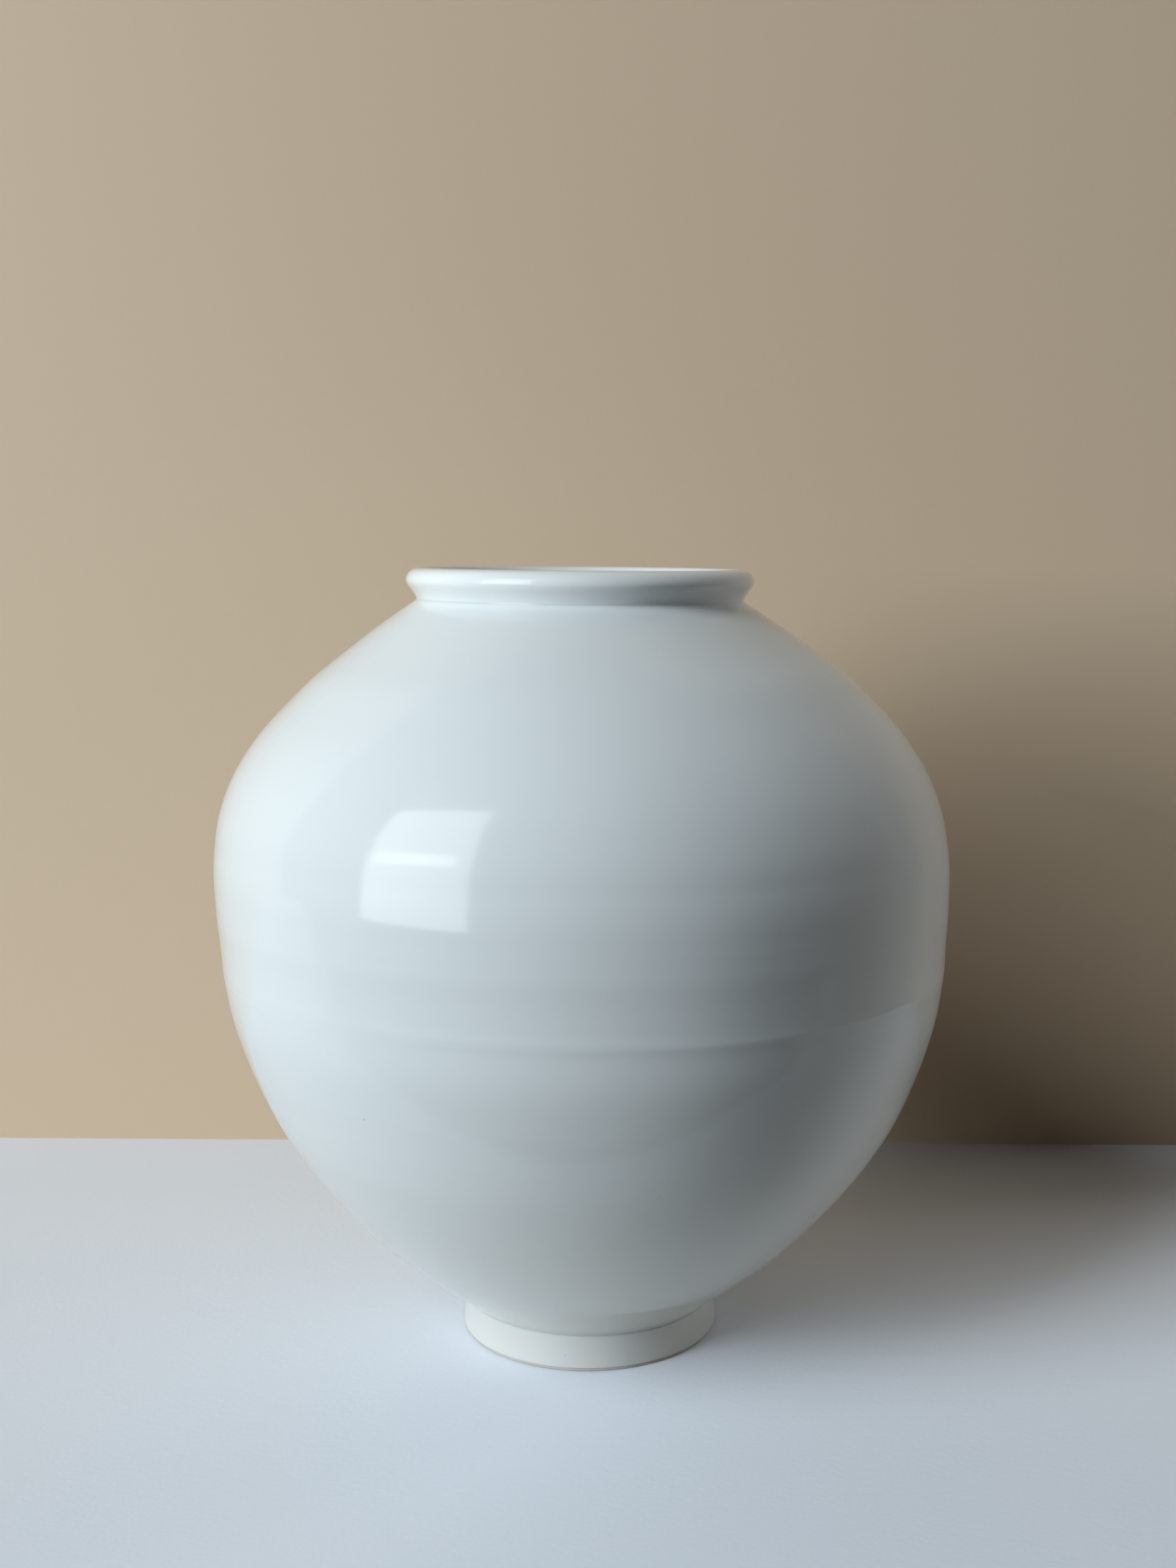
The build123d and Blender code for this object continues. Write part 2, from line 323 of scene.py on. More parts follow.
def turned(name, line, sides, relief=None, marks=None):
    # Surface of revolution: each point of the line goes round a full turn, radius times cosine and sine
    # across and height up. Relief moves points out along the line's normal. A line that starts and ends at
    # the middle is closed there by a fan of triangles, and any other is closed on itself.
    poles = line[0, 0] < sameSpot
    turn = np.linspace(0, 2 * np.pi, sides, endpoint=False)[None]
    if not poles:
        line = line[:-1] if np.linalg.norm(line[0] - line[-1]) < sameSpot else line
    out = -leftOf(line)
    radius, height = np.repeat(line[:, :1], sides, 1), np.repeat(line[:, 1:], sides, 1)
    if relief is not None:
        lift = relief(line, turn)
        radius, height = radius + out[:, :1] * lift, height + out[:, 1:] * lift
    place = asThrown(np.stack([radius * np.cos(turn), radius * np.sin(turn), height], -1)) * mm
    rows = len(line)
    grid = np.arange(rows * sides).reshape(rows, sides)
    beside = np.roll(grid, -1, 1)
    if poles:
        first, final = grid[0, 0], grid[-1, 0]
        quads = np.stack([grid[1:-2], beside[1:-2], beside[2:-1], grid[2:-1]], -1).reshape(-1, 4)
        fans = np.concatenate([
            np.stack([np.full(sides, first), beside[1], grid[1]], -1),
            np.stack([grid[-2], beside[-2], np.full(sides, final)], -1),
        ])
        used = np.concatenate([[first], grid[1:-1].ravel(), [final]])
    else:
        above = np.roll(grid, -1, 0)
        quads = np.stack([grid, beside, np.roll(above, -1, 1), above], -1).reshape(-1, 4)
        fans, used = np.zeros((0, 3), int), grid.ravel()
    renumber = np.zeros(rows * sides, int)
    renumber[used] = np.arange(len(used))
    mesh = bpy.data.meshes.new(name)
    faces = [*renumber[quads].tolist(), *renumber[fans].tolist()]
    mesh.from_pydata(place.reshape(-1, 3)[used].tolist(), [], faces)
    for mark, values in (marks or {}).items():
        layer = mesh.attributes.new(mark, "FLOAT", "POINT")
        everywhere = np.repeat(values(line)[:, None], sides, 1).ravel()
        layer.data.foreach_set("value", everywhere[used].astype(np.float32))
    mesh.shade_smooth()
    mesh.set_sharp_from_angle(angle=np.radians(crispAngle))
    mesh.validate()
    piece = bpy.data.objects.new(name, mesh)
    bpy.context.scene.collection.objects.link(piece)
    print(name, "made of", len(faces), "faces")
    return piece


# Materials


def linear(hexColour):
    # An sRGB hex colour as linear red, green, blue and a full alpha
    parts = np.array([int(hexColour[i:i + 2], 16) for i in (1, 3, 5)]) / 255
    return (*np.where(parts <= 0.04045, parts / 12.92, ((parts + 0.055) / 1.055) ** 2.4), 1.0)


def addNode(tree, kind, sockets=None, **settings):
    # Adds a node with its settings; each socket takes a plain value or another node's output. A Mix node has
    # its share at 0, two numbers at 2 and 3 and two colours at 6 and 7, and gives a number at 0 or a colour
    # at 2. A MapRange node has its value at 0, the span it is in at 1 and 2 and the new span at 3 and 4.
    node = tree.nodes.new("ShaderNode" + kind)
    for name, value in settings.items():
        setattr(node, name, value)
    for name, value in (sockets or {}).items():
        if isinstance(value, bpy.types.NodeSocket):
            tree.links.new(value, node.inputs[name])
        else:
            node.inputs[name].default_value = value
    return node


def newMaterial(name):
    # A material and its emptied node tree
    material = bpy.data.materials.new(name)
    material.use_nodes = True
    material.node_tree.nodes.clear()
    return material, material.node_tree


def finishMaterial(tree, shader):
    # The shader becomes the surface
    addNode(tree, "OutputMaterial", {"Surface": shader.outputs[0]})


glazeLook = dict(
    # The pooled colour is bluer pooled glaze and also painted shade for the crease and the groove; the thin
    # colour is also painted shade on the foot
    colour="#E3E7EA", thickColour="#E0E5E8", poolAndShadeColour="#B4BEBD", thinAndFootShadeColour="#D2D3D3",
    # The collar colour is painted light, whiter than the glaze
    collarPaintedLightColour="#EDF0F1",
    cloudSize=70,  # mm across a patch of thicker glaze
    speckColour="#8F897A", speckSpacing=14, speckSize=0.35, speckEdge=(1.6, 0.4), speckChance=(0.70, 0.95),
    patchSize=22, patchSpan=(0.3, 0.7), roughness=(0.09, 0.13), footRoughness=0.30,
    peelSize=2.6, peelHeight=0.004,  # mm; the ripple of a fired glaze, at its real width
    ior=1.5,
)


def glazeMaterial(look):
    # Clear feldspar glaze on porcelain, dipped and fired in reduction: a glassy coat with soft-edged
    # reflections, cool white, a little bluer where it is thick, with a few specks and a faint ripple
    material, tree = newMaterial("porcelainGlazeDippedAndFired")
    spot = addNode(tree, "TexCoord").outputs["Object"]
    cloud = addNode(tree, "TexNoise", {"Vector": spot, "Scale": 1 / (look["cloudSize"] * mm), "Detail": 2.0})
    colour = addNode(tree, "Mix", {
        0: cloud.outputs["Fac"], 6: linear(look["colour"]), 7: linear(look["thickColour"]),
    }, data_type="RGBA")
    # The marks mix in painted shade in the crease and groove, painted light on the collar and painted shade
    # on the foot
    for mark, markColour in (("poolAndShade", "poolAndShadeColour"), ("collarPaintedLight", "collarPaintedLightColour"), ("thinAndFootShade", "thinAndFootShadeColour")):
        where = addNode(tree, "Attribute", attribute_name=mark)
        colour = addNode(tree, "Mix", {
            0: where.outputs["Fac"], 6: colour.outputs[2], 7: linear(look[markColour]),
        }, data_type="RGBA")
    cells = addNode(tree, "TexVoronoi", {"Vector": spot, "Scale": 1 / (look["speckSpacing"] * mm)})
    share = look["speckSize"] / look["speckSpacing"]
    near = addNode(tree, "MapRange", {
        0: cells.outputs["Distance"], 1: share * look["speckEdge"][0], 2: share * look["speckEdge"][1],
    }, clamp=True)
    chosen = addNode(tree, "MapRange", {
        0: cells.outputs["Color"], 1: look["speckChance"][0], 2: look["speckChance"][1],
    }, clamp=True)
    speck = addNode(tree, "Math", {0: near.outputs[0], 1: chosen.outputs[0]}, operation="MULTIPLY")
    colour = addNode(tree, "Mix", {
        0: speck.outputs[0], 6: colour.outputs[2], 7: linear(look["speckColour"]),
    }, data_type="RGBA")
    patch = addNode(tree, "TexNoise", {"Vector": spot, "Scale": 1 / (look["patchSize"] * mm), "Detail": 3.0})
    gloss = addNode(tree, "MapRange", {
        0: patch.outputs["Fac"], 1: look["patchSpan"][0], 2: look["patchSpan"][1],
        3: look["roughness"][0], 4: look["roughness"][1],
    })
    soft = addNode(tree, "Attribute", attribute_name="soft")
    rough = addNode(tree, "Mix", {0: soft.outputs["Fac"], 2: gloss.outputs[0], 3: look["footRoughness"]})
    ripple = addNode(tree, "TexNoise", {"Vector": spot, "Scale": 1 / (look["peelSize"] * mm), "Detail": 2.0})
    bump = addNode(tree, "Bump", {
        "Height": ripple.outputs["Fac"], "Distance": look["peelHeight"] * mm, "Strength": 1.0,
    })
    shader = addNode(tree, "BsdfPrincipled", {
        "Base Color": colour.outputs[2], "Roughness": rough.outputs[0], "Normal": bump.outputs[0],
        "IOR": look["ior"],
    })
    finishMaterial(tree, shader)
    return material


bareLookWithContactShade = dict(
    # The grey below is partly the bare clay's own and partly painted shade, darkened to stand for the contact
    # shadow along the foot's standing edge
    colour="#BEBDB9", flashColour="#B8B3AA", cloudSize=18, flashSpan=(0.45, 0.75), roughness=0.78, ior=1.5,
    grainSize=0.5, grainHeight=0.01,  # mm; sanded clay has a grain under 0.1, drawn coarser so that it shows
)


def bareMaterial(name, look):
    # Unglazed fired clay, sanded: matt, chalk-smooth, with a fine grain and a faint warm flash from the kiln.
    # Slip is the same clay brushed on wet, a little lighter and coarser.
    material, tree = newMaterial(name)
    spot = addNode(tree, "TexCoord").outputs["Object"]
    cloud = addNode(tree, "TexNoise", {"Vector": spot, "Scale": 1 / (look["cloudSize"] * mm), "Detail": 3.0})
    warm = addNode(tree, "MapRange", {
        0: cloud.outputs["Fac"], 1: look["flashSpan"][0], 2: look["flashSpan"][1],
    })
    colour = addNode(tree, "Mix", {
        0: warm.outputs[0], 6: linear(look["colour"]), 7: linear(look["flashColour"]),
    }, data_type="RGBA")
    grain = addNode(tree, "TexNoise", {"Vector": spot, "Scale": 1 / (look["grainSize"] * mm), "Detail": 3.0})
    bump = addNode(tree, "Bump", {
        "Height": grain.outputs["Fac"], "Distance": look["grainHeight"] * mm, "Strength": 1.0,
    })
    shader = addNode(tree, "BsdfPrincipled", {
        "Base Color": colour.outputs[2], "Roughness": look["roughness"], "Normal": bump.outputs[0],
        "IOR": look["ior"],
    })
    finishMaterial(tree, shader)
    return material


glazed = glazeMaterial(glazeLook)
# The bare material carries that painted contact shade on the foot's standing edge
bare = bareMaterial("porcelainBareSandedAndContactShaded", bareLookWithContactShade)
slipped = bareMaterial("porcelainSlipBrushed", dict(bareLookWithContactShade, colour="#C8C6C0", grainSize=0.8))
print("materials made")


# The glaze coat, in one piece from the bare band of the foot over the lip to the floor inside

coat = dict(
    ringHeights=(
        60, 90, 104, 112, 118, 124, 131, 141, 148, 153, 158, 164, 169, 171.5, 173.6, 175.2, 177, 180, 184,
        188, 194, 198, 201.5, 205, 209, 214, 219, 224, 229.5, 233, 238, 246, 255, 264, 270, 277, 284, 290,
        297, 303, 308, 313, 318, 325, 334,
    ),
    ringTilts=(  # degrees
        0, -0.6, -0.7, 0.8, 0.3, 0.8, -0.6, -0.7, -1.3, -1.0, 0.8, 2.5, 1.8, -0.8, -3.4, -0.8, 2.6, 0.9, 0.1,
        -0.4, -1.7, -0.9, 1.4, 0.2, 0.3, -1.2, 0, 0.7, 1.5, -0.7, -0.5, 1.0, 0.5, 1.4, 0.5, 0.5, 1.2, 1.0,
        -1.0, -0.5, 1.6, 0.3, -0.9, -1.6, 0,
    ),
    reliefTop=400, reliefStep=0.5, meanReach=70,  # the running mean takes this many steps to each side
    settle=0.2,  # how far the rings lie back, so that none stands out past the true jar
    seamTilt=-0.024, seamSag=-0.010, seamFade=25, seamLeast=0.30, seamMost=0.80, seamTurn=1.6,
    # Waves round the jar: depth, count, start, twist in mm
    drift=0.9, driftWave=(1, 1, 0, 23), driftWaves=((0.5, 3, 1, np.inf), (0.3, 7, 0, np.inf)),
    strength=1.3, strengthWaves=((0.35, 2, 2.2, 60), (0.15, 5, 0, 17)),
    innerRing=0.22, innerPitch=10.0, innerWave=(0.3, 2, 0, 30),
    footFade=30, collarFade=(2, 14), innerFootFade=(2, 45), innerTopFade=(325, 300),
    edgeIn=0.15, edgeUp=0.2,  # how the coat ends at the bare band
    creaseReach=1.0, creaseStep=0.3, grooveReach=0.4, grooveStep=0.25, footStep=1.0, rimStep=2.0,
    rowStep=1.35, seamStep=0.6, seamReach=9.0, sides=168,
    # Below: the depth and widths of the painted shade in the crease and groove, and the rise over which the
    # collar's painted light comes in
    creasePoolAndShade=0.6, creaseWidth=1.1, grooveWidth=0.7, collarLightEdge=1,
    # The foot's darker thin-glaze colour is also painted shade, fading out over the rise given below
    crestThin=0.7, crestWidth=3.0, footThinAndShadeRise=6, wipeEdge=0.4,
)
shelf = jar["footHeight"] - jar["undercutRise"]
band = jar["bareBand"]


def ringRelief():
    # Throwing rings and the joint of the two bowls: the tangent of the wall's tilt at each height, upwards
    # where positive, is added up into a depth, less its own running mean, so that the jar keeps its outline
    step, reach = coat["reliefStep"], coat["meanReach"]
    height = np.arange(0, coat["reliefTop"], step)
    tilt = smoothLine(list(zip(coat["ringHeights"], coat["ringTilts"])), (1, 0), (1, 0), step)
    slope = np.tan(np.radians(np.interp(height, tilt[:, 0], tilt[:, 1], 0, 0)))
    depth = -np.cumsum(slope) * step
    wide = np.hanning(2 * reach + 1)
    padded = np.pad(depth, reach, mode="edge")
    return height, depth - np.convolve(padded, wide / wide.sum(), mode="valid")


ringHeight, ringDepth = ringRelief()


def wave(turn, height, values):
    # A wave round the jar that turns with height: depth times the sine of count times the turn, plus the
    # start, plus the height over the twist
    depth, count, start, twist = values
    return depth * np.sin(count * turn + start + height / twist)


def rings(height, turn):
    # The rings' depth at a height moved by waves round the jar and, near the joint, by its tilt and sag,
    # times a strength that waves round the jar. Near is exp(-(distance from the joint / fade)^2).
    near = np.exp(-(((height - seamHeight) / coat["seamFade"]) ** 2))
    waver = wave(turn, height, coat["driftWave"]) * (1 - near)
    waver = coat["drift"] * (waver + sum(wave(turn, height, values) for values in coat["driftWaves"]))
    tilt = (coat["seamTilt"] * np.cos(turn) + coat["seamSag"] * (1 + np.sin(turn)) ** 2) * seam[0] * near
    strength = coat["strength"] + sum(wave(turn, height, values) for values in coat["strengthWaves"])
    atSeam = coat["seamLeast"] + coat["seamMost"] * np.cos(turn + coat["seamTurn"]) ** 2
    return np.interp(height - tilt - waver, ringHeight, ringDepth) * (strength * (1 - near) + atSeam * near)


bandTop = band + coat["edgeUp"]
frontFoot = joined(
    [(footWall(band) - glaze, band), (footWall(band) - coat["edgeIn"], band), (footWall(band), bandTop)],
    spaced(np.array([(footWall(bandTop), bandTop), (footWall(shelf), shelf)]), coat["footStep"]),
    [undercut],
)
bodyLine = joined(lowerLine, bellyLine, shoulderLine)
frontBody = joined(
    graded(bodyLine, coat["rowStep"], coat["seamStep"], seamHeight, coat["seamReach"]),
    taperLine, lipLine, boreLine,
)
frontOutside = rounded(joined(frontFoot, frontBody), undercut, coat["grooveReach"], coat["grooveStep"])
frontOutside = rounded(frontOutside, crease, coat["creaseReach"], coat["creaseStep"])
frontInner = spaced(coatInner, jar["innerStep"])[::-1]
backInner = spaced(bareInner, jar["hiddenStep"])
backRim = spaced(joined(bareTaper, bareLip, bareBore), coat["rimStep"])[::-1]
backBody = spaced(joined(bareLower, bareBelly, bareShoulder), jar["hiddenStep"])[::-1]
backFoot = [
    (slipRadius, baseHeight), (slipRadius, ringTop), (footWall(ringTop) - glaze, ringTop),
    (footWall(band) - glaze, band),
]
back = joined(backInner, backRim, backBody, backFoot)
front = joined(frontOutside, frontInner)
coatLine = joined(back, front[1:])
frontRow = np.arange(len(coatLine)) >= len(back) - 1
crestRow = len(coatLine) - len(front) + 1 + np.argmax(front[1:, 1])
outsideRow = frontRow & (np.arange(len(coatLine)) < crestRow)
insideRow = frontRow & ~outsideRow


def coatRelief(line, turn):
    # How far the surface stands out: the rings less their settling on the outer wall, and on the inner one a
    # spiral, the sine of the height over the pitch less the turn, times a wave round the jar
    height = line[:, 1:]
    wall = (outsideRow & (line[:, 1] > jar["footHeight"]))[:, None]
    start, end = coat["collarFade"]
    fade = smoothStep(height, jar["footHeight"], coat["footFade"])
    fade = fade * smoothStep(height, collarBase - start, collarBase - end)
    outside = wall * fade * (rings(height, turn) - coat["settle"])
    start, end = coat["innerFootFade"]
    deep = insideRow[:, None] * smoothStep(height, floorHeight + start, end)
    deep = deep * smoothStep(height, *coat["innerTopFade"])
    spiral = coat["innerRing"] * np.sin(2 * np.pi * height / coat["innerPitch"] - turn)
    return outside + deep * spiral * (1 + wave(turn, height, coat["innerWave"]))


def closeTo(line, middle, width):
    # 1 at a point of the line, falling off on both sides: exp(-(distance / width)^2)
    return np.exp(-((np.linalg.norm(line - middle, axis=1) / width) ** 2))


def poolAndCreaseShadeMark(line):
    # Thicker, bluer glaze in the crease under the collar and in the groove over the foot, also darker there
    # as painted shade in these hollows
    inCrease = coat["creasePoolAndShade"] * closeTo(line, crease, coat["creaseWidth"])
    return np.where(frontRow, np.maximum(inCrease, closeTo(line, undercut, coat["grooveWidth"])), 0)


def collarPaintedLightMark(line):
    # Painted light: the collar is painted whiter from its base up, so that its underside, which faces down,
    # looks brighter
    return np.where(frontRow, smoothStep(line[:, 1], collarBase, collarBase + coat["collarLightEdge"]), 0)


def thinGlazeAndFootShadeMark(line):
    # Thinner, less blue glaze over the crest of the lip and on the foot. On the foot its darker colour is
    # also painted shade, standing for the shade under the belly
    overCrest = coat["crestThin"] * closeTo(line, crest, coat["crestWidth"])
    onFoot = 1 - smoothStep(line[:, 1], shelf, shelf + coat["footThinAndShadeRise"])
    return np.where(frontRow, np.maximum(overCrest, onFoot), 0) * (1 - poolAndCreaseShadeMark(line))


def softMark(line):
    # The foot was wiped and has less gloss
    edge = coat["wipeEdge"]
    return np.where(frontRow, 1 - smoothStep(line[:, 1], shelf - edge, shelf + edge), 0)


glazeCoat = turned("glazeCoat", coatLine, coat["sides"], coatRelief, dict(
    poolAndShade=poolAndCreaseShadeMark, collarPaintedLight=collarPaintedLightMark, thinAndFootShade=thinGlazeAndFootShadeMark, soft=softMark,
))


# The porcelain and slip under the glaze

hidden = dict(sides=96, step=5.0, roofPoints=12, hair=0.01)
roofRadii = np.linspace(0, recessRadius, hidden["roofPoints"])
roofLine = np.stack([roofRadii, recessRoof(roofRadii)], -1)
outerLine = spaced(joined(bareLower, bareBelly, bareShoulder), hidden["step"])
innerWall = spaced(bareInner, hidden["step"])
outerJoint = seam[0] - glaze
lowInner, highInner = radiusAt(bareInner, jointLow), radiusAt(bareInner, jointHigh)

lowerBowl = turned("lowerBowl", joined(
    roofLine, [(slipRadius, baseHeight)], between(outerLine, baseHeight, jointLow),
    jointFace(jointLow, lowInner, outerJoint),
    between(innerWall, floorHeight + hidden["hair"], jointLow)[::-1], [(0, floorHeight)],
), hidden["sides"])
bellySlip = turned("bellySlip", joined(
    [(outerJoint, jointLow), (outerJoint, jointHigh)], jointFace(jointHigh, highInner, outerJoint),
    between(bareInner, jointLow, jointHigh)[::-1], jointFace(jointLow, lowInner, outerJoint)[::-1],
), hidden["sides"])
upperBowl = turned("upperBowl", joined(
    between(outerLine, jointHigh, collarSeat), between(innerWall, jointHigh, collarSeat)[::-1],
    jointFace(jointHigh, highInner, outerJoint)[::-1],
), hidden["sides"])
collarSlip = turned("collarSlip", joined(
    between(outerLine, collarSeat, collarBottom), between(bareInner, collarSeat, collarBottom)[::-1],
), hidden["sides"])
throat = mouthRadius + glaze
mouthCollar = turned("mouthCollar", joined(
    [(throat, collarBottom)], bareTaper, bareLip, bareBore, [(throat, collarBottom)],
), hidden["sides"])
footSlip = turned("footSlip", joined(
    [(recessWall(ringTop), ringTop), (slipRadius, ringTop)],
    [(slipRadius, baseHeight), (recessRadius, baseHeight)],
), hidden["sides"])


# The foot ring with its bare standing edge, and the glazed recess under the jar

foot = dict(sides=160, step=1.0, recessStep=1.5, roofPoints=24, cornerPoints=8)
edgeRound = jar["footRound"]
outerFoot, innerFoot = footWall(edgeRound) - glaze, recessWall(edgeRound)

ringLine = joined(
    bend(vec(innerFoot, edgeRound), vec(innerFoot, 0), vec(innerFoot + edgeRound, 0)),
    spaced(np.array([(innerFoot + edgeRound, 0), (outerFoot - edgeRound, 0)]), foot["step"]),
    bend(vec(outerFoot - edgeRound, 0), vec(outerFoot, 0), vec(outerFoot, edgeRound)),
    [(footWall(band) - glaze, band), (footWall(ringTop) - glaze, ringTop), (recessWall(ringTop), ringTop)],
    [(recessWall(band), band), (innerFoot, edgeRound)],
)
footRing = turned("footRing", ringLine, foot["sides"])
turnRadius = recessRadius - glaze - jar["baseCorner"]
cornerHeight = baseHeight - glaze - jar["baseCorner"]
coatRadii = np.linspace(0, turnRadius, foot["roofPoints"])
coatRoof = np.stack([coatRadii, recessRoof(coatRadii) - glaze], -1)
wallTop = vec(recessWall(cornerHeight) - glaze, cornerHeight)
innerEdge = recessWall(band) - glaze
baseLine = joined(
    coatRoof, bend(coatRoof[-1], vec(wallTop[0], coatRoof[-1, 1]), wallTop, foot["cornerPoints"]),
    spaced(np.array([wallTop, (innerEdge, bandTop)]), foot["recessStep"]),
    [(innerEdge + coat["edgeUp"], band), (recessWall(band), band), (recessWall(ringTop), ringTop)],
    roofLine[::-1],
)
baseGlaze = turned("baseGlaze", baseLine, foot["sides"])

# Each piece with the nodes that it replaces, its slot and its material
pieces = (
    (glazeCoat, ("outer_glaze", "inner_glaze"), "glaze", glazed),
    (lowerBowl, ("lower_bowl",), "porcelain", bare),
    (bellySlip, ("belly_slip",), "slip", slipped),
    (upperBowl, ("upper_bowl",), "porcelain", bare),
    (collarSlip, ("collar_slip",), "slip", slipped),
    (mouthCollar, ("mouth_collar",), "porcelain", bare),
    (footSlip, ("foot_slip",), "slip", slipped),
    (footRing, ("foot_ring",), "porcelain", bare),
    (baseGlaze, ("base_glaze",), "glaze", glazed),
)
for piece, nodes, slot, material in pieces:
    piece.data.materials.append(material)
    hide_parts(*nodes)
    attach(piece, "root")
print("jar made of", len(pieces), "pieces")


# Table, backdrop, light and camera

studio = dict(
    tableColour="#EBF1FC", tableGiven="#CBC8C2", wallColour="#CFB89F", paintRoughness=0.6,
    # Stipple width and height in mm; a roller leaves one of 1 to 2, drawn coarser so that it shows
    tableStipple=(3.0, 0.08), wallStipple=(4.0, 0.05),
    tableFront=-219, tableBack=248, tableYaw=-2.7, leftEnd=-2600, tableRight=640, wallRight=620,
    tableHeight=-0.05,  # a hair under the foot, so that the two faces don't flicker
    wallFoot=-600, wallHeight=1500,
    worldStrength=0.006, mirroredStrength=0.22, worldColour="#F2F0EC", backgroundColour="#E2E2E0",
)


def sheetOf(name, corners, material):
    # A flat sheet of the studio through its four corners
    mesh = bpy.data.meshes.new(name)
    mesh.from_pydata([tuple(np.array(corner) * mm) for corner in corners], [], [(0, 1, 2, 3)])
    piece = bpy.data.objects.new(name, mesh)
    bpy.context.scene.collection.objects.link(piece)
    piece.data.materials.append(material)


def paintMaterial(name, colour, givenColour, stippleSize, oneSided=False):
    # Flat emulsion paint laid with a roller: matt, with a fine stipple. It shows one colour to the camera and
    # in the glaze, and gives back light in a duller one, so that the shade under the jar stays as deep as in
    # a room. A one-sided sheet is clear from behind.
    material, tree = newMaterial(name)
    grain, height = stippleSize
    spot = addNode(tree, "TexCoord").outputs["Object"]
    stipple = addNode(tree, "TexNoise", {"Vector": spot, "Scale": 1 / (grain * mm), "Detail": 2.0})
    bump = addNode(tree, "Bump", {"Height": stipple.outputs["Fac"], "Distance": height * mm, "Strength": 1.0})
    path = addNode(tree, "LightPath")
    seen = addNode(tree, "Math", {
        0: path.outputs["Is Camera Ray"], 1: path.outputs["Is Glossy Ray"],
    }, operation="MAXIMUM")
    seen = addNode(tree, "Math", {
        0: seen.outputs[0], 1: path.outputs["Is Transmission Ray"],
    }, operation="MAXIMUM")
    paint = addNode(tree, "Mix", {
        0: seen.outputs[0], 6: linear(givenColour), 7: linear(colour),
    }, data_type="RGBA")
    shader = addNode(tree, "BsdfPrincipled", {
        "Base Color": paint.outputs[2], "Roughness": studio["paintRoughness"], "Normal": bump.outputs[0],
    })
    if oneSided:
        back = addNode(tree, "NewGeometry").outputs["Backfacing"]
        clear = addNode(tree, "BsdfTransparent")
        shader = addNode(tree, "MixShader", {0: back, 1: shader.outputs[0], 2: clear.outputs[0]})
    finishMaterial(tree, shader)
    return material


lean = np.tan(np.radians(studio["tableYaw"]))


def edgePoint(x, y, z):
    # A point of the table or the wall, which run at a slight angle to the photograph: y plus the lean times x
    return (x, y + lean * x, z)


tableWhite = paintMaterial(
    "whiteEmulsionRolled", studio["tableColour"], studio["tableGiven"], studio["tableStipple"],
)
wallWarm = paintMaterial(
    "warmEmulsionRolled", studio["wallColour"], studio["wallColour"], studio["wallStipple"], True,
)
leftEnd, tableRight, wallRight = studio["leftEnd"], studio["tableRight"], studio["wallRight"]
tableFront, tableBack, tableHeight = studio["tableFront"], studio["tableBack"], studio["tableHeight"]
wallFoot, wallHeight = studio["wallFoot"], studio["wallHeight"]
sheetOf("tableTop", [
    edgePoint(leftEnd, tableFront, tableHeight), edgePoint(tableRight, tableFront, tableHeight),
    edgePoint(tableRight, tableBack, tableHeight), edgePoint(leftEnd, tableBack, tableHeight),
], tableWhite)
sheetOf("backdrop", [
    edgePoint(leftEnd, tableBack, wallFoot), edgePoint(wallRight, tableBack, wallFoot),
    edgePoint(wallRight, tableBack, wallHeight), edgePoint(leftEnd, tableBack, wallHeight),
], wallWarm)

world = bpy.data.worlds.new("softStudio")
world.use_nodes = True
bpy.context.scene.world = world
worldTree = world.node_tree
worldTree.nodes.clear()
# The room is all but dark, a little brighter where the glaze mirrors it, and the camera sees a pale ground
path = addNode(worldTree, "LightPath")
strength = addNode(worldTree, "Mix", {
    0: path.outputs["Is Glossy Ray"], 2: studio["worldStrength"], 3: studio["mirroredStrength"],
})
surround = addNode(worldTree, "Background", {
    "Color": linear(studio["worldColour"]), "Strength": strength.outputs[0],
})
behind = addNode(worldTree, "Background", {"Color": linear(studio["backgroundColour"]), "Strength": 1.0})
shown = addNode(worldTree, "MixShader", {
    0: path.outputs["Is Camera Ray"], 1: surround.outputs[0], 2: behind.outputs[0],
})
addNode(worldTree, "OutputWorld", {"Surface": shown.outputs[0]})


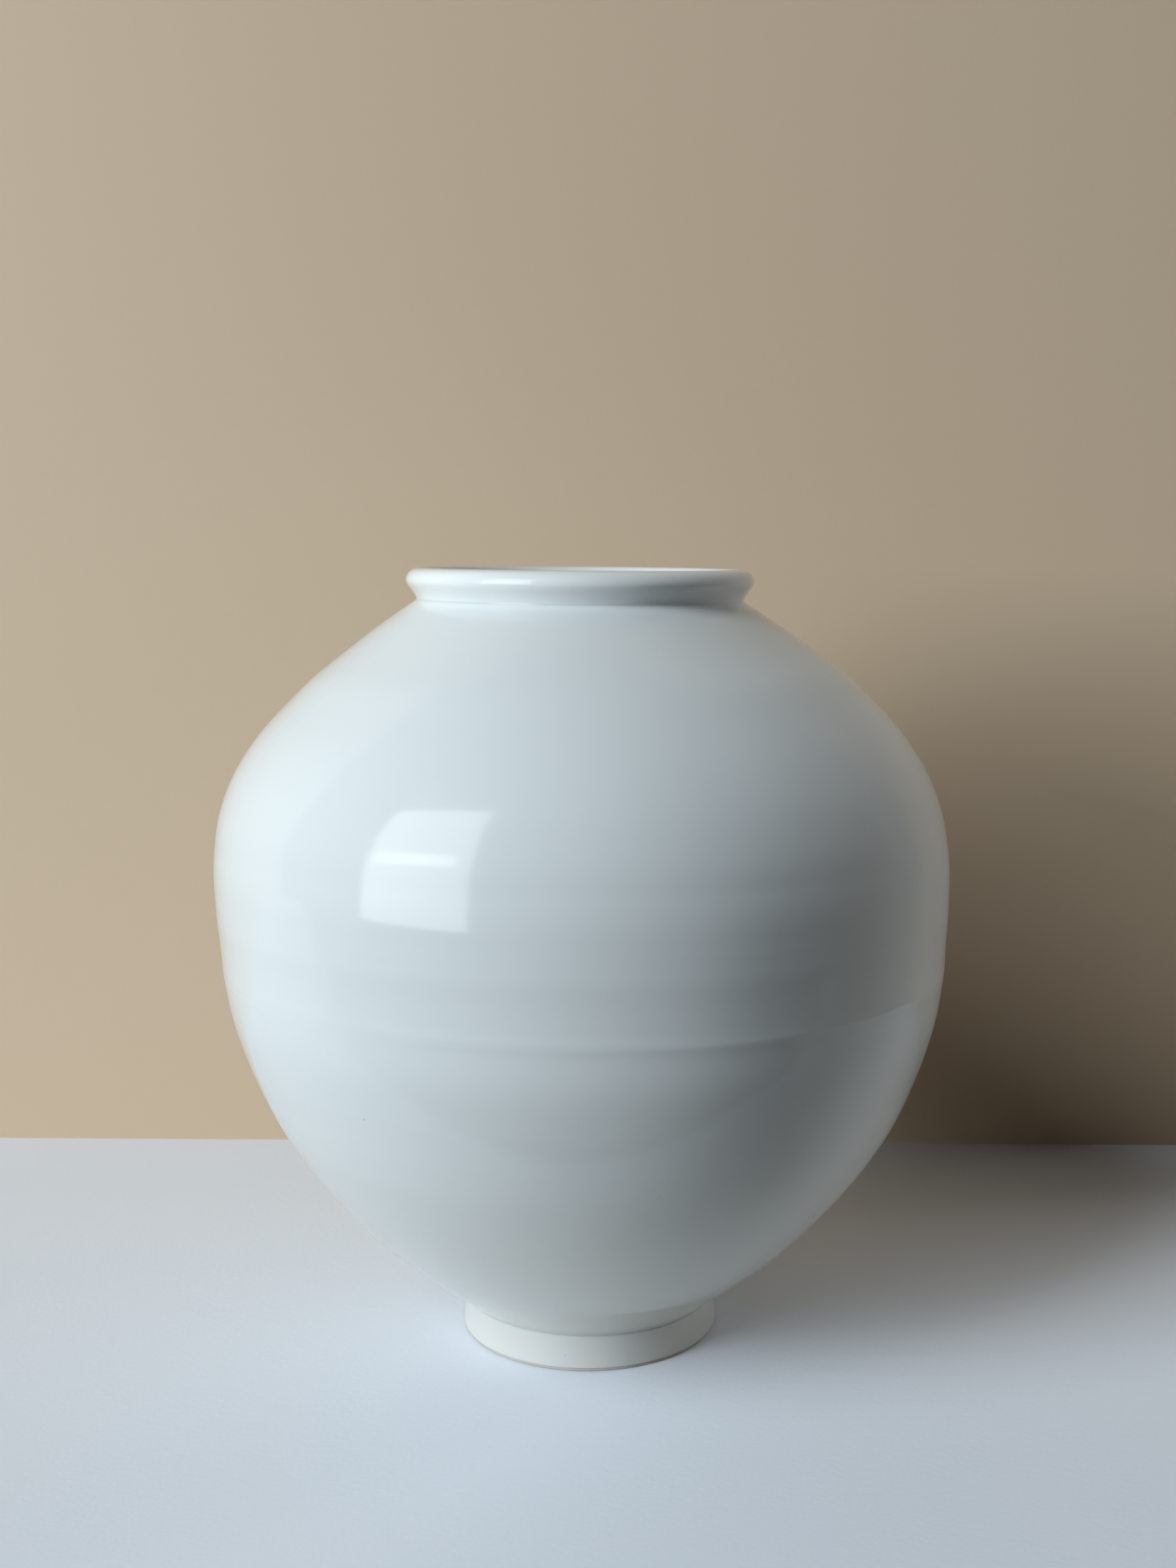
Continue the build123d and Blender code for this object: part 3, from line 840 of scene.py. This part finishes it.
def panel(name, place, facing, width, height, power, colour, mirrored):
    # A rectangular soft light that looks along a direction, with its width level: across is the cross product
    # of the look and the upright, and up that of across and the look. It is either what the glaze mirrors or
    # what gives the shading.
    lamp = bpy.data.lights.new(name, "AREA")
    lamp.shape, lamp.size, lamp.size_y = "RECTANGLE", width, height
    lamp.energy, lamp.color = power, linear(colour)[:3]
    look = unit(facing)
    across = unit(np.cross(look, (0, 0, 1)))
    up = np.cross(across, look)
    item = bpy.data.objects.new(name, lamp)
    item.matrix_world = Matrix([[across[i], up[i], -look[i], place[i]] for i in range(3)] + [[0, 0, 0, 1]])
    item.visible_glossy, item.visible_diffuse, item.visible_camera = mirrored, not mirrored, False
    bpy.context.scene.collection.objects.link(item)


# The window, with a brighter strip of sky across it, is what the glaze mirrors; the others give the shading
lightColour = "#F0FBFF"
lights = (  # name, place in metres, the way it looks, width, height, watts, colour, mirrored
    ("windowLight", (-1.369, -1.147, 0.916), (0.402, 0.916, 0), 1.176, 1.842, 23.5, lightColour, True),
    ("skyStrip", (-1.361, -1.129, 0.800), (0.402, 0.916, 0), 0.9, 0.20, 1.7, lightColour, True),
    ("upperLight", (-2.82, -2.36, 3.26), (0.587, 0.492, -0.643), 2.0, 2.0, 93, lightColour, False),
    ("leftLight", (-3.81, -2.64, 1.41), (0.795, 0.550, -0.259), 2.0, 2.0, 172, lightColour, False),
    ("rightLight", (2.4, 0.84, 0.80), (-0.91, -0.32, -0.25), 0.6, 1.2, 20.0, "#FFFFFB", False),
)
for light in lights:
    panel(*light)

# Place in mm, pitch and roll in degrees, focal length and frame height in pixels of the photograph
view = dict(place=(3.07, -803.95, 359.45), pitch=7.617, roll=-0.536, focal=2534.5, frameHeight=2212, film=36)
pitch, roll = np.radians(view["pitch"]), np.radians(view["roll"])
right = vec(np.cos(roll), np.sin(roll) * np.sin(pitch), np.sin(roll) * np.cos(pitch))
above = vec(-np.sin(roll), np.cos(roll) * np.sin(pitch), np.cos(roll) * np.cos(pitch))
ahead = np.cross(above, right)
cameraData = bpy.data.cameras.new("photoCamera")
cameraData.sensor_width = view["film"]
cameraData.lens = view["focal"] / view["frameHeight"] * view["film"]
camera = bpy.data.objects.new("photoCamera", cameraData)
camera.matrix_world = Matrix([
    [right[i], above[i], -ahead[i], view["place"][i] * mm] for i in range(3)
] + [[0, 0, 0, 1]])
bpy.context.scene.collection.objects.link(camera)
bpy.context.scene.camera = camera
bpy.context.scene.view_settings.view_transform = "Standard"
print("studio made")
